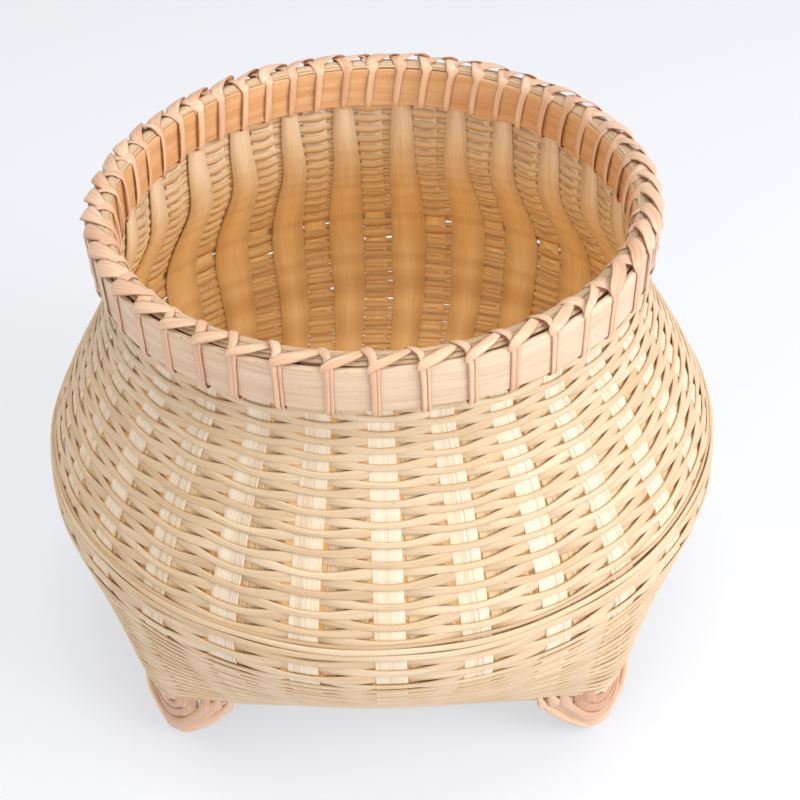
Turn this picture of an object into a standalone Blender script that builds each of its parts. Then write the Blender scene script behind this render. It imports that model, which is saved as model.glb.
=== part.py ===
"""A round bamboo basket on a square base.

Twenty-eight flat splints cross in the base and turn up into fifty-six stakes. Weaver rows pass
over three stakes and under one, so that every other stake shows. The stake tops stand between
an outer and an inner hoop, with a filler bundle on top and a cane lashing round all of them.
Four bent canes under the corners are the feet. Nothing moves.
"""

import math

import bmesh
import bpy
from mathutils import Vector

MM = 0.001

# Driving sizes, in millimetres
RIM_OUTER_RADIUS = 101.0
HOOP_THICKNESS = 3.4
HOOP_HEIGHT = 16.5
HOOP_TOP = 204.0
BELLY_RADIUS = 132.5
BELLY_HEIGHT = 95.5
BASE_HALF_WIDTH = 90.5
BASE_HEIGHT = 24.0
STAKE_WIDTH = 8.4
STAKE_TOP_WIDTH = 7.0
STAKE_TOP_DEPTH = 1.0
SPLINT_THICKNESS = 0.8
WEAVER_WIDTH = 3.2
WEAVER_THICKNESS = 0.9
BAND_WIDTH = 5.0
BORDER_WIDTH = 7.4
BORDER_THICKNESS = 1.1
HOOP_EASE_SHARE = 0.28
FILLER_RADIUS = 1.6
LASHING_WIDTH = 3.0
LASHING_THICKNESS = 0.9
LASHING_WAIST = 1.2
LASHING_RISE = 0.5
LASHING_SHOULDER_SHARE = 0.6
LASHING_NARROWING = 1.0
FOOT_RADIUS = 3.2
FOOT_TUCK = 6.0
FOOT_FLAT = 0.5
FOOT_RISE = 10.0
CLEARANCE = 0.35
RIM_ROOM = 0.65

# How the weave lies on the stakes
ODD_STAKE_EASE = 1.0
EDGE_MARGIN = 0.06
CORNER_SQUARENESS = 0.1
CORNER_EASE = 0.45
CORNER_UNDER_EASE = 0.3
BAND_EASE = 0.5
BORDER_EASE = 0.7
BORDER_LIFT = 1.2
BASE_TO_FIRST_ROW = 22.0
LAST_ROW_TO_HOOP = 6.5

# How the wall is shaped: it leans out from the base, turns over at the belly and leans in to the neck
LOWER_POWER = 1.43
SHOULDER_POWER = 0.9
SQUARENESS = 0.98
SQUARENESS_POWER = 1.95
CORNER_ROUNDING = 0.20

# Counts
STAKES = 56
STITCHES = 50
WEAVER_ROWS = 14
BAND_ROW = 6
BORDER_ROWS = 2
WALL_LEVELS = 10
HOOP_STEPS = 56
FILLER_STEPS = 48
FILLER_SIDES = 6

# A foot's loop: how far along the base's side and how far up each of its bends lies, as shares
HALF_FOOT_LOOP = ((0.031, 0.08), (0.069, 0.29), (0.106, 0.55), (0.138, 0.80), (0.163, 1.0))
OTHER_HALF_FOOT_LOOP = tuple((-share, climb) for share, climb in reversed(HALF_FOOT_LOOP))
FOOT_LOOP = (*OTHER_HALF_FOOT_LOOP, (0.0, 0.0), *HALF_FOOT_LOOP)

# Places that follow from the driving sizes
STAKES_PER_SIDE = STAKES // 4
HOOP_BOTTOM = HOOP_TOP - HOOP_HEIGHT
STAKE_TOP = HOOP_TOP - STAKE_TOP_DEPTH
NECK_RADIUS = RIM_OUTER_RADIUS - HOOP_THICKNESS - CLEARANCE - SPLINT_THICKNESS / 2 - RIM_ROOM
ROW_PERIOD = 4
SHOWN_STAKE = 1
UNDER_OFFSET = SPLINT_THICKNESS / 2 + CLEARANCE + WEAVER_THICKNESS / 2
ODD_STAKE_DEPTH = UNDER_OFFSET + ODD_STAKE_EASE
FIRST_ROW_HEIGHT = BASE_HEIGHT + BASE_TO_FIRST_ROW
LAST_ROW_HEIGHT = HOOP_BOTTOM - LAST_ROW_TO_HOOP


def new_collection(name):
    collection = bpy.data.collections.new(name)
    bpy.context.scene.collection.children.link(collection)
    return collection


def clear_scene():
    for item in list(bpy.data.objects):
        bpy.data.objects.remove(item, do_unlink=True)


def make_material(name, colour, roughness):
    material = bpy.data.materials.new(name)
    material.use_nodes = True
    shader = material.node_tree.nodes["Principled BSDF"]
    shader.inputs["Base Color"].default_value = (*colour, 1.0)
    shader.inputs["Roughness"].default_value = roughness
    shader.inputs["Metallic"].default_value = 0.0
    material.diffuse_color = (*colour, 1.0)
    return material


def wall_radius(height):
    """Radius of the wall's middle: it falls off below the belly, and by half a cosine up to the neck."""
    if height <= BELLY_HEIGHT:
        share = (BELLY_HEIGHT - height) / (BELLY_HEIGHT - BASE_HEIGHT)
        return BELLY_RADIUS - (BELLY_RADIUS - BASE_HALF_WIDTH) * min(1.0, share) ** LOWER_POWER
    share = min(1.0, (height - BELLY_HEIGHT) / (HOOP_BOTTOM - BELLY_HEIGHT)) ** SHOULDER_POWER
    return BELLY_RADIUS - (BELLY_RADIUS - NECK_RADIUS) * (0.5 - 0.5 * math.cos(math.pi * share))


def wall_squareness(height):
    """One is a square with rounded corners and nought is a circle."""
    share = min(1.0, max(0.0, (height - BASE_HEIGHT) / (BELLY_HEIGHT - BASE_HEIGHT)))
    return SQUARENESS * (1.0 - share) ** SQUARENESS_POWER


def rounded_square(turn):
    """Point of a unit square with rounded corners, where turn counts its sides."""
    side = math.floor(turn)
    straight = 1.0 - CORNER_ROUNDING
    run = (turn - side - 0.5) * (2.0 * straight + CORNER_ROUNDING * math.pi / 2)
    x, y = run, -1.0
    if abs(run) > straight:
        angle = (abs(run) - straight) / CORNER_ROUNDING
        x = math.copysign(straight + CORNER_ROUNDING * math.sin(angle), run)
        y = -straight - CORNER_ROUNDING * math.cos(angle)
    quarter = side * math.pi / 2
    return (x * math.cos(quarter) - y * math.sin(quarter), x * math.sin(quarter) + y * math.cos(quarter))


def wall_outline(stake, height):
    """Point of the wall's middle at a place along the ring, counted in stakes."""
    turn = stake / STAKES_PER_SIDE
    angle = (turn - 0.5) * math.pi / 2
    square_x, square_y = rounded_square(turn)
    blend = wall_squareness(height)
    radius = wall_radius(height)
    x = (1 - blend) * math.sin(angle) + blend * square_x
    y = -(1 - blend) * math.cos(angle) + blend * square_y
    return Vector((x * radius, y * radius, height))


def wall_heights():
    """Heights where the stakes bend, from the base to the stake tops."""
    step = (HOOP_BOTTOM - BASE_HEIGHT) / (WALL_LEVELS - 2)
    return [BASE_HEIGHT + step * level for level in range(WALL_LEVELS - 1)] + [STAKE_TOP]


def level_normal(stake, level):
    heights = wall_heights()
    along = wall_outline(stake + 0.05, heights[level]) - wall_outline(stake - 0.05, heights[level])
    low = wall_outline(stake, heights[max(level - 1, 0)])
    high = wall_outline(stake, heights[min(level + 1, WALL_LEVELS - 1)])
    return along.cross(high - low).normalized()


def level_point(stake, level, offset):
    point = wall_outline(stake, wall_heights()[level])
    return point + level_normal(stake, level) * offset


def wall_point(stake, height, offset):
    """Point on the bent stakes' own surface, so that what lies on them keeps its gap."""
    heights = wall_heights()
    level = 0
    while level < WALL_LEVELS - 2 and height > heights[level + 1]:
        level += 1
    share = (height - heights[level]) / (heights[level + 1] - heights[level])
    return level_point(stake, level, offset).lerp(level_point(stake, level + 1, offset), share)


def stake_width(height):
    share = min(1.0, max(0.0, (height - BELLY_HEIGHT) / (HOOP_BOTTOM - BELLY_HEIGHT)))
    return STAKE_WIDTH + (STAKE_TOP_WIDTH - STAKE_WIDTH) * share


def stake_pitch(height):
    return (wall_outline(0.5, height) - wall_outline(1.5, height)).length


def half_width_in_stakes(height):
    return stake_width(height) / (2 * stake_pitch(height))


def add_strip(name, pairs, thickness, material, collection, closed):
    """A flat strip through pairs of edge points, in millimetres, made thick by Solidify."""
    mesh = bpy.data.meshes.new(name)
    shape = bmesh.new()
    rows = [[shape.verts.new(point * MM) for point in pair] for pair in pairs]
    following = rows[1:] + rows[:1] if closed else rows[1:]
    for here, there in zip(rows, following):
        shape.faces.new((here[0], there[0], there[1], here[1]))
    shape.to_mesh(mesh)
    shape.free()
    piece = bpy.data.objects.new(name, mesh)
    collection.objects.link(piece)
    mesh.materials.append(material)
    solid = piece.modifiers.new("Thickness", "SOLIDIFY")
    solid.thickness = thickness * MM
    solid.offset = 0.0
    solid.use_even_offset = True
    return piece


def stake_offset(index, level):
    """Every other stake keeps to the wall's middle, and those between lie deeper, behind every weaver."""
    return 0.0 if index % 2 == SHOWN_STAKE or level == 0 else -ODD_STAKE_DEPTH


def upright_pairs(index):
    """Edge pairs of one stake, from the base upwards, each with its left edge first."""
    pairs = []
    for level, height in enumerate(wall_heights()):
        half = half_width_in_stakes(height)
        offset = stake_offset(index, level)
        middle = index + 0.5
        pairs.append([level_point(middle - half, level, offset), level_point(middle + half, level, offset)])
    return pairs


def build_splints(material, collection):
    """Each splint goes up one side, across the base and up the other side."""
    for side, letter in ((0, "y"), (1, "x")):
        lift = 0.0 if letter == "x" else SPLINT_THICKNESS + 2 * CLEARANCE
        for number in range(STAKES_PER_SIDE):
            near = side * STAKES_PER_SIDE + number
            far = (side + 2) * STAKES_PER_SIDE + STAKES_PER_SIDE - 1 - number
            near_pairs = upright_pairs(near)
            far_pairs = upright_pairs(far)
            for point in near_pairs[0] + far_pairs[0]:
                point.z = BASE_HEIGHT + lift
            pairs = list(reversed(near_pairs)) + [[right, left] for left, right in far_pairs]
            name = f"splint_{letter}_{number + 1:02d}"
            add_strip(name, pairs, SPLINT_THICKNESS, material, collection, closed=False)


def strip_edges(stake, height, offset, width):
    """The lower and upper edge points of a strip of a given width lying along the wall."""
    rise = wall_point(stake, height + 1.0, offset) - wall_point(stake, height - 1.0, offset)
    half = width / 2 * rise.z / rise.length
    return [wall_point(stake, height - half, offset), wall_point(stake, height + half, offset)]


def weaver_stations(height, shift):
    """Places and offsets along one row: in behind one shown stake, out over the next three."""
    edge = half_width_in_stakes(height) + EDGE_MARGIN
    turns_corners = wall_squareness(height) > CORNER_SQUARENESS
    over = UNDER_OFFSET + (CORNER_EASE if turns_corners else 0.0)
    under = UNDER_OFFSET + (CORNER_UNDER_EASE if turns_corners else 0.0)
    stations = []
    for group in range(STAKES // ROW_PERIOD):
        start = group * ROW_PERIOD + SHOWN_STAKE + shift + 0.5
        stations.append((start - edge, -under))
        stations.append((start + edge, -under))
        if turns_corners:
            stations.append((start + 1, 0.0))
        stations.append((start + 2 - edge, over))
        stations.append((start + 2 + edge, over))
        if turns_corners:
            stations.append((start + 3, 0.0))
    return stations


def row_height(row):
    step = (LAST_ROW_HEIGHT - FIRST_ROW_HEIGHT) / (WEAVER_ROWS - 1)
    return FIRST_ROW_HEIGHT + step * row


def build_weavers(material, collection):
    """The rows of the twill, each shifted two stakes from the one below."""
    number = 0
    for row in range(WEAVER_ROWS):
        if row == BAND_ROW:
            continue
        number += 1
        height = row_height(row)
        pairs = []
        for stake, offset in weaver_stations(height, 2 * (row % 2)):
            pairs.append(strip_edges(stake, height, offset, WEAVER_WIDTH))
        name = f"weaver_row_{number:02d}"
        add_strip(name, pairs, WEAVER_THICKNESS, material, collection, closed=True)


def build_outer_strips(band_material, border_material, collection):
    """The belly band, and the packed border rows of the base, which lie outside every stake."""
    band_offset = UNDER_OFFSET + BAND_EASE
    border_offset = SPLINT_THICKNESS / 2 + CLEARANCE + BORDER_THICKNESS / 2 + BORDER_EASE
    strips = [("belly_band", row_height(BAND_ROW), band_offset, BAND_WIDTH, WEAVER_THICKNESS, band_material)]
    for number in range(1, BORDER_ROWS + 1):
        height = BASE_HEIGHT + (number - 0.5) * (BORDER_WIDTH + CLEARANCE) + BORDER_LIFT
        name = f"base_border_{number}"
        strips.append((name, height, border_offset, BORDER_WIDTH, BORDER_THICKNESS, border_material))
    for name, height, offset, width, thickness, material in strips:
        pairs = [strip_edges(stake, height, offset, width) for stake in range(STAKES)]
        add_strip(name, pairs, thickness, material, collection, closed=True)


def add_turned(name, profile, steps, material, collection):
    """A closed profile of radius and height points, turned round the upright axis."""
    mesh = bpy.data.meshes.new(name)
    points = [(radius * MM, 0.0, height * MM) for radius, height in profile]
    edges = [(i, (i + 1) % len(points)) for i in range(len(points))]
    mesh.from_pydata(points, edges, [])
    mesh.materials.append(material)
    piece = bpy.data.objects.new(name, mesh)
    collection.objects.link(piece)
    screw = piece.modifiers.new("Turn", "SCREW")
    screw.steps = steps
    screw.render_steps = steps
    screw.use_merge_vertices = True
    screw.merge_threshold = 0.00001
    screw.use_normal_calculate = True
    screw.use_smooth_shade = True
    return piece


def hoop_profile(inner, outer):
    """A flat hoop whose top edges are eased, run down its outer side."""
    ease = HOOP_THICKNESS * HOOP_EASE_SHARE
    return [
        (outer - ease, HOOP_TOP),
        (outer, HOOP_TOP - ease),
        (outer, HOOP_BOTTOM),
        (inner, HOOP_BOTTOM),
        (inner, HOOP_TOP - ease),
        (inner + ease, HOOP_TOP),
    ]


def outer_hoop_inner_radius():
    return RIM_OUTER_RADIUS - HOOP_THICKNESS


def inner_hoop_outer_radius():
    return NECK_RADIUS - ODD_STAKE_DEPTH - SPLINT_THICKNESS / 2 - CLEARANCE


def inner_hoop_inner_radius():
    return inner_hoop_outer_radius() - HOOP_THICKNESS


def build_hoops(outer_material, inner_material, collection):
    outer = hoop_profile(outer_hoop_inner_radius(), RIM_OUTER_RADIUS)
    inner = hoop_profile(inner_hoop_inner_radius(), inner_hoop_outer_radius())
    add_turned("outer_hoop", outer, HOOP_STEPS, outer_material, collection)
    add_turned("inner_hoop", inner, HOOP_STEPS, inner_material, collection)


def filler_height():
    return STAKE_TOP + CLEARANCE + FILLER_RADIUS


def build_filler(material, collection):
    """The bundle of splints along the top of the rim, between the two hoops."""
    bpy.ops.mesh.primitive_torus_add(
        major_segments=FILLER_STEPS,
        minor_segments=FILLER_SIDES,
        major_radius=NECK_RADIUS * MM,
        minor_radius=FILLER_RADIUS * MM,
        location=(0.0, 0.0, filler_height() * MM),
    )
    piece = bpy.context.active_object
    piece.name = "rim_filler"
    piece.data.name = "rim_filler"
    for owner in list(piece.users_collection):
        owner.objects.unlink(piece)
    collection.objects.link(piece)
    piece.data.materials.append(material)
    piece.data.shade_smooth()


def ring_pair(angle, radius, height, half_width):
    """Two edge points of the lashing, side by side along the rim."""
    middle = Vector((radius * math.sin(angle), -radius * math.cos(angle), height))
    along = Vector((math.cos(angle), math.sin(angle), 0.0))
    return [middle - along * half_width, middle + along * half_width]


def gap_angle(stitch):
    """Angle of the gap between two stakes that lies nearest to a stitch."""
    gap = round(stitch * STAKES / STITCHES)
    return (gap / STAKES_PER_SIDE - 0.5) * math.pi / 2


def stitch_angle(stitch):
    return 2 * math.pi * stitch / STITCHES - math.pi / 4


def build_lashing(material, collection):
    """One cane wound round the whole rim, through the wall just under the hoops."""
    stand_off = CLEARANCE + LASHING_THICKNESS / 2
    outside = RIM_OUTER_RADIUS + stand_off
    inside = inner_hoop_inner_radius() - stand_off
    under = HOOP_BOTTOM - stand_off - CLEARANCE
    crest = filler_height() + FILLER_RADIUS + stand_off + LASHING_RISE
    shoulder = HOOP_TOP + stand_off * LASHING_SHOULDER_SHARE
    half = LASHING_WIDTH / 2
    pairs = []
    for stitch in range(STITCHES):
        here = stitch_angle(stitch)
        there = stitch_angle(stitch + 0.5)
        gap = gap_angle(stitch + 1)
        pairs.append(ring_pair(gap_angle(stitch), outside, under, half))
        pairs.append(ring_pair(here, outside, shoulder, half))
        pairs.append(ring_pair((here + there) / 2, NECK_RADIUS, crest, half))
        pairs.append(ring_pair(there, inside, shoulder, half))
        pairs.append(ring_pair(gap, inside, under, half))
        pairs.append(ring_pair(gap, inner_hoop_outer_radius() - LASHING_NARROWING, under, LASHING_WAIST / 2))
        pairs.append(ring_pair(gap, outer_hoop_inner_radius() + LASHING_NARROWING, under, LASHING_WAIST / 2))
    add_strip("rim_lashing", pairs, LASHING_THICKNESS, material, collection, closed=True)


def foot_route(corner):
    """Points of one bent cane: down one wall, round under the corner and up the other wall."""
    corner_stake = corner * STAKES_PER_SIDE
    stand_off = SPLINT_THICKNESS / 2 + BORDER_THICKNESS + 3 * CLEARANCE + 2 * BORDER_EASE + FOOT_RADIUS
    lowest = FOOT_RADIUS - FOOT_FLAT
    highest = BASE_HEIGHT + FOOT_RISE
    points = []
    for share, climb in FOOT_LOOP:
        height = lowest + (highest - lowest) * climb
        tuck = FOOT_TUCK * (1.0 - climb) ** 3
        stake = corner_stake + share * STAKES_PER_SIDE
        point = wall_point(stake, max(height, BASE_HEIGHT), stand_off - tuck)
        point.z = height
        points.append(point)
    return points


def curve_to_mesh(curve_object, collection):
    """The curve's own mesh with its caps welded, in place of the curve."""
    depsgraph = bpy.context.evaluated_depsgraph_get()
    mesh = bpy.data.meshes.new_from_object(curve_object.evaluated_get(depsgraph))
    shape = bmesh.new()
    shape.from_mesh(mesh)
    bmesh.ops.remove_doubles(shape, verts=shape.verts, dist=0.00001)
    shape.to_mesh(mesh)
    shape.free()
    piece = bpy.data.objects.new(curve_object.name, mesh)
    piece.matrix_world = curve_object.matrix_world
    name = curve_object.name
    bpy.data.objects.remove(curve_object, do_unlink=True)
    piece.name = name
    collection.objects.link(piece)
    return piece


def cut_flat(piece):
    """Cuts the cane off level with the ground, where the foot has worn flat."""
    shape = bmesh.new()
    shape.from_mesh(piece.data)
    everything = list(shape.verts) + list(shape.edges) + list(shape.faces)
    cut = bmesh.ops.bisect_plane(
        shape, geom=everything, plane_co=(0, 0, 0), plane_no=(0, 0, -1), clear_outer=True
    )
    rim = [item for item in cut["geom_cut"] if isinstance(item, bmesh.types.BMEdge)]
    bmesh.ops.contextual_create(shape, geom=rim)
    shape.normal_update()
    shape.to_mesh(piece.data)
    shape.free()


def build_feet(material, collection):
    for corner, place in enumerate(("front_left", "front_right", "back_right", "back_left")):
        name = f"foot_{place}"
        route = foot_route(corner)
        curve = bpy.data.curves.new(name, "CURVE")
        curve.dimensions = "3D"
        curve.bevel_depth = FOOT_RADIUS * MM
        curve.bevel_resolution = 2
        curve.use_fill_caps = True
        curve.materials.append(material)
        spline = curve.splines.new("POLY")
        spline.points.add(len(route) - 1)
        for point, place_on_route in zip(spline.points, route):
            point.co = (*(place_on_route * MM), 1.0)
        cane = bpy.data.objects.new(name, curve)
        collection.objects.link(cane)
        bpy.context.view_layer.update()
        foot = curve_to_mesh(cane, collection)
        cut_flat(foot)
        foot.data.shade_smooth()


def build_basket():
    clear_scene()
    collection = new_collection("bamboo_basket")
    splint = make_material("split bamboo", (0.86, 0.70, 0.50), 0.55)
    weaver = make_material("weaver bamboo", (0.85, 0.66, 0.44), 0.50)
    outer = make_material("outer hoop bamboo", (0.83, 0.63, 0.41), 0.50)
    inner = make_material("inner hoop bamboo", (0.72, 0.44, 0.24), 0.40)
    cane = make_material("lashing cane", (0.74, 0.46, 0.28), 0.40)
    build_splints(splint, collection)
    build_weavers(weaver, collection)
    build_outer_strips(weaver, splint, collection)
    build_hoops(outer, inner, collection)
    build_filler(weaver, collection)
    build_lashing(cane, collection)
    build_feet(cane, collection)


build_basket()
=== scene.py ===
import math

import bpy
import numpy as np
from mathutils import Matrix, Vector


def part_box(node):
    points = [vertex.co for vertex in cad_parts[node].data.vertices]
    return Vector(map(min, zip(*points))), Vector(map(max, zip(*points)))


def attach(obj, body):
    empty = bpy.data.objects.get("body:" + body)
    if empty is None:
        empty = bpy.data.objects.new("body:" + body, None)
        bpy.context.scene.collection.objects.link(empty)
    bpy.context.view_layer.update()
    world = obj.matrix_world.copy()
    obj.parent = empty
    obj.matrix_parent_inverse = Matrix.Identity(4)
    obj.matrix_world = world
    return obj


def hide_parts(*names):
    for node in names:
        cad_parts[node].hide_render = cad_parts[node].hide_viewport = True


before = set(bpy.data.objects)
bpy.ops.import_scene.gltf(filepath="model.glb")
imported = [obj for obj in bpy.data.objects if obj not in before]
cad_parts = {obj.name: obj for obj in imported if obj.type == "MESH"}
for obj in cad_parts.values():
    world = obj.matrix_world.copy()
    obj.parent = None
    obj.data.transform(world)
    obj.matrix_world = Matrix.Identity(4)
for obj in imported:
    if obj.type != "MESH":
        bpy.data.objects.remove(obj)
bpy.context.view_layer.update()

# Splints: flat split bamboo, laid crosswise in the base and bent up into the wall's stakes.
# Each one has fine ribs along its length. Every other stake stays behind the whole weave, and the
# ones between show as pale upright patches. All sizes are in millimetres.
MM = 0.001
STAKES = 56
STAKES_PER_SIDE = 14
SHOWN_STAKE = 1
BASE_HEIGHT = 24.0
BASE_HALF_WIDTH = 90.5
BELLY_HEIGHT = 95.5
BELLY_RADIUS = 132.5
NECK_HEIGHT = 187.5
NECK_RADIUS = 96.2
LOWER_POWER = 1.43
SHOULDER_POWER = 0.9
SQUARENESS = 0.98
SQUARENESS_POWER = 1.75
CORNER_ROUNDING = 0.13
WEAVE_DRIFT = -0.19
DRIFT_FROM, DRIFT_TO = 35.0, 75.0
NECK_CROWDING = 0.10
CROWDED_FROM, CROWDED_TO = 145.0, 182.0
STAKE_WIDTH, STAKE_TOP_WIDTH = 10.5, 9.0
BACK_STAKE_WIDTH, BACK_STAKE_TOP_WIDTH = 17.0, 7.0
BACK_STAKE_TAPER = 1.3
BACK_STAKE_SHIFT = -1.05
STAKE_UNEVENNESS = 0.6
# The stakes behind the weave are painted darker and warmer: painted warm shade where they sit back between
# the rows.
BACK_STAKE_PAINTED_SHADE = 0.08
BACK_STAKE_PAINTED_WARM_SHADE = 0.6
INNER_STAKE_TONE, INNER_PAINTED_STREAKS = 0.05, 0.38
STAKE_TOP = 203.0
STAKE_HALF_THICKNESS = 0.4
BACK_STAKE_DEPTH = 0.65
STAKE_SWELL = 0.5
SETTLED_FROM, SETTLED_OVER = 2.0, 14.0
HELD_BELOW_TOP, HELD_OVER = 14.0, 10.0
UNEVEN_OVER = 40.0
SHOWN_UNEVENNESS = 0.2
NUDGE_ALONG, NUDGE_UP = 0.05, 0.6
RIBS = 11
RIB_LINES = 2 * RIBS + 1
RIB_RELIEF, RIB_VALLEY, EDGE_VALLEY = 0.13, -0.04, -0.12
RIB_UNEVENNESS = 0.03
# The valleys between the ribs are painted darker: painted shade in the grooves. Some ribs are also darker
# at random.
VALLEY_PAINTED_SHADE, DARK_RIB_TONE, PLAIN_RIBS = 0.14, 0.45, 0.72
BACK_FACE_TONE = 0.04
SPLINT_GRAIN_STEP, CROSSWISE_GRAIN = 400.0, 9000
LEVEL_STEP = 2.6
BEND_HEIGHT = 31.0
BEND_STEPS = 7
BEND_REACH = 0.42
MAT_STEP = 3.2
MAT_MARGIN = 4.5
MAT_PITCH = BASE_HALF_WIDTH * 2 / STAKES_PER_SIDE
MAT_RELIEF = 0.55
MAT_HEIGHT = 24.7


def ease(share):
    share = np.clip(share, 0.0, 1.0)
    return share * share * (3.0 - 2.0 * share)


def unit(vectors):
    return vectors / np.linalg.norm(vectors, axis=-1, keepdims=True)


def wall_radius(height):
    below = np.clip((BELLY_HEIGHT - height) / (BELLY_HEIGHT - BASE_HEIGHT), 0.0, 1.0)
    above = np.clip((height - BELLY_HEIGHT) / (NECK_HEIGHT - BELLY_HEIGHT), 0.0, 1.0)
    lean_out = (BELLY_RADIUS - BASE_HALF_WIDTH) * below ** LOWER_POWER
    lean_in = (BELLY_RADIUS - NECK_RADIUS) * (0.5 - 0.5 * np.cos(np.pi * above ** SHOULDER_POWER))
    return BELLY_RADIUS - lean_out - lean_in


def wall_squareness(height):
    share = np.clip((height - BASE_HEIGHT) / (BELLY_HEIGHT - BASE_HEIGHT), 0.0, 1.0)
    return SQUARENESS * (1.0 - share) ** SQUARENESS_POWER


def rounded_square(turn):
    """Points of a unit square with rounded corners, where turn counts its sides."""
    side = np.floor(turn)
    straight = 1.0 - CORNER_ROUNDING
    run = (turn - side - 0.5) * (2.0 * straight + CORNER_ROUNDING * math.pi / 2)
    bend = np.clip(np.abs(run) - straight, 0.0, None) / CORNER_ROUNDING
    x = np.sign(run) * np.where(bend > 0, straight + CORNER_ROUNDING * np.sin(bend), np.abs(run))
    y = -straight - CORNER_ROUNDING * np.cos(bend)
    quarter = side * math.pi / 2
    return x * np.cos(quarter) - y * np.sin(quarter), x * np.sin(quarter) + y * np.cos(quarter)


def stake_turn(stake, height):
    """Sides passed on the way round. The weave drifts a little left, and crowds in front at the neck."""
    drift = WEAVE_DRIFT * ease((height - DRIFT_FROM) / (DRIFT_TO - DRIFT_FROM))
    crowding = NECK_CROWDING * ease((height - CROWDED_FROM) / (CROWDED_TO - CROWDED_FROM))
    turn = (stake + drift) / STAKES_PER_SIDE
    return turn - crowding * 2 / math.pi * np.sin((turn - 0.5) * math.pi / 2)


def wall_middle(stake, height):
    """Points in the middle of the wall's thickness, at places counted in stakes and at heights."""
    stake, height = np.broadcast_arrays(np.asarray(stake, float), np.asarray(height, float))
    turn = stake_turn(stake, height)
    angle = (turn - 0.5) * math.pi / 2
    square_x, square_y = rounded_square(turn)
    blend = wall_squareness(height)
    radius = wall_radius(height)
    x = (1 - blend) * np.sin(angle) + blend * square_x
    y = -(1 - blend) * np.cos(angle) + blend * square_y
    return np.stack((x * radius, y * radius, height), axis=-1)


def wall_normal(stake, height):
    along = wall_middle(stake + NUDGE_ALONG, height) - wall_middle(stake - NUDGE_ALONG, height)
    rise = wall_middle(stake, height + NUDGE_UP) - wall_middle(stake, height - NUDGE_UP)
    return unit(np.cross(along, rise))


def wall_point(stake, height, proud):
    stake, height = np.broadcast_arrays(np.asarray(stake, float), np.asarray(height, float))
    return wall_middle(stake, height) + wall_normal(stake, height) * np.asarray(proud)[..., None]


def stake_pitch(height):
    return 2 * math.pi * wall_radius(height) / STAKES


def add_strand(name, sections, across, tones, insides, closed, grain_start):
    """A piece through cross-sections, each a ring of points, with its grain in a UV in millimetres."""
    count, ring = sections.shape[:2]
    middles = sections.mean(axis=1)
    steps = np.linalg.norm(np.roll(middles, -1, axis=0) - middles, axis=1)
    lengths = grain_start + np.concatenate(([0.0], np.cumsum(steps)))
    here = np.arange(count if closed else count - 1)
    there = (here + 1) % count
    first = np.arange(ring)
    second = (first + 1) % ring
    quads = np.stack((
        here[:, None] * ring + first, here[:, None] * ring + second,
        there[:, None] * ring + second, there[:, None] * ring + first), axis=-1).reshape(-1, 4)
    u = np.stack((lengths[here], lengths[here], lengths[here + 1], lengths[here + 1]), axis=-1)
    v = np.stack((across[:-1], across[1:], across[1:], across[:-1]), axis=-1)
    grain = np.stack((np.repeat(u, ring, axis=0), np.tile(v, (len(here), 1))), axis=-1).reshape(-1, 2)
    faces = quads.tolist()
    if not closed:
        faces += [list(range(ring))[::-1], [(count - 1) * ring + i for i in range(ring)]]
        ends = np.concatenate((
            np.stack((np.full(ring, lengths[0]), across[:-1][::-1]), axis=-1),
            np.stack((np.full(ring, lengths[count - 1]), across[:-1]), axis=-1)))
        grain = np.concatenate((grain, ends))
    mesh = bpy.data.meshes.new(name)
    mesh.from_pydata((sections.reshape(-1, 3) * MM).tolist(), [], faces)
    mesh.uv_layers.new(name="grain").data.foreach_set("uv", grain.astype(np.float32).ravel())
    for label, values in (("tone", tones), ("inside", insides)):
        spread = np.broadcast_to(values, (count, ring)).astype(np.float32).ravel()
        mesh.attributes.new(label, "FLOAT", "POINT").data.foreach_set("value", spread)
    mesh.shade_smooth()
    piece = bpy.data.objects.new(name, mesh)
    bpy.context.scene.collection.objects.link(piece)
    return piece


def paint(red, green, blue):
    """A colour as seen on a screen, 0 to 255, as the shader wants it."""
    channels = (red / 255, green / 255, blue / 255)
    return (*[c / 12.92 if c <= 0.04045 else ((c + 0.055) / 1.055) ** 2.4 for c in channels], 1.0)


def mixed(tree, factor, first, second, blend="MIX"):
    node = tree.nodes.new("ShaderNodeMix")
    node.data_type = "RGBA"
    node.blend_type = blend
    for socket, value in ((0, factor), (6, first), (7, second)):
        if isinstance(value, bpy.types.NodeSocket):
            tree.links.new(value, node.inputs[socket])
        else:
            node.inputs[socket].default_value = value
    return node.outputs[2]


GRAIN_SHIFTS = (1.0, 0.37, 0.71)
GRAIN_ROUGHNESS = 0.6


def grain_noise(tree, scale_along, scale_across, detail, shift):
    """Noise drawn out along the fibres."""
    grain = tree.nodes.new("ShaderNodeUVMap")
    grain.uv_map = "grain"
    stretch = tree.nodes.new("ShaderNodeMapping")
    stretch.inputs["Scale"].default_value = (scale_along, scale_across, 1.0)
    stretch.inputs["Location"].default_value = [shift * share for share in GRAIN_SHIFTS]
    noise = tree.nodes.new("ShaderNodeTexNoise")
    noise.inputs["Scale"].default_value = 1.0
    noise.inputs["Detail"].default_value = detail
    noise.inputs["Roughness"].default_value = GRAIN_ROUGHNESS
    tree.links.new(grain.outputs["UV"], stretch.inputs["Vector"])
    tree.links.new(stretch.outputs["Vector"], noise.inputs["Vector"])
    return noise.outputs["Fac"]


def ranged(tree, value, low, high, to_low, to_high):
    node = tree.nodes.new("ShaderNodeMapRange")
    tree.links.new(value, node.inputs["Value"])
    for label, number in (("From Min", low), ("From Max", high), ("To Min", to_low), ("To Max", to_high)):
        node.inputs[label].default_value = number
    return node.outputs["Result"]


def attribute(tree, label):
    node = tree.nodes.new("ShaderNodeAttribute")
    node.attribute_name = label
    return node.outputs["Fac"]


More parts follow.
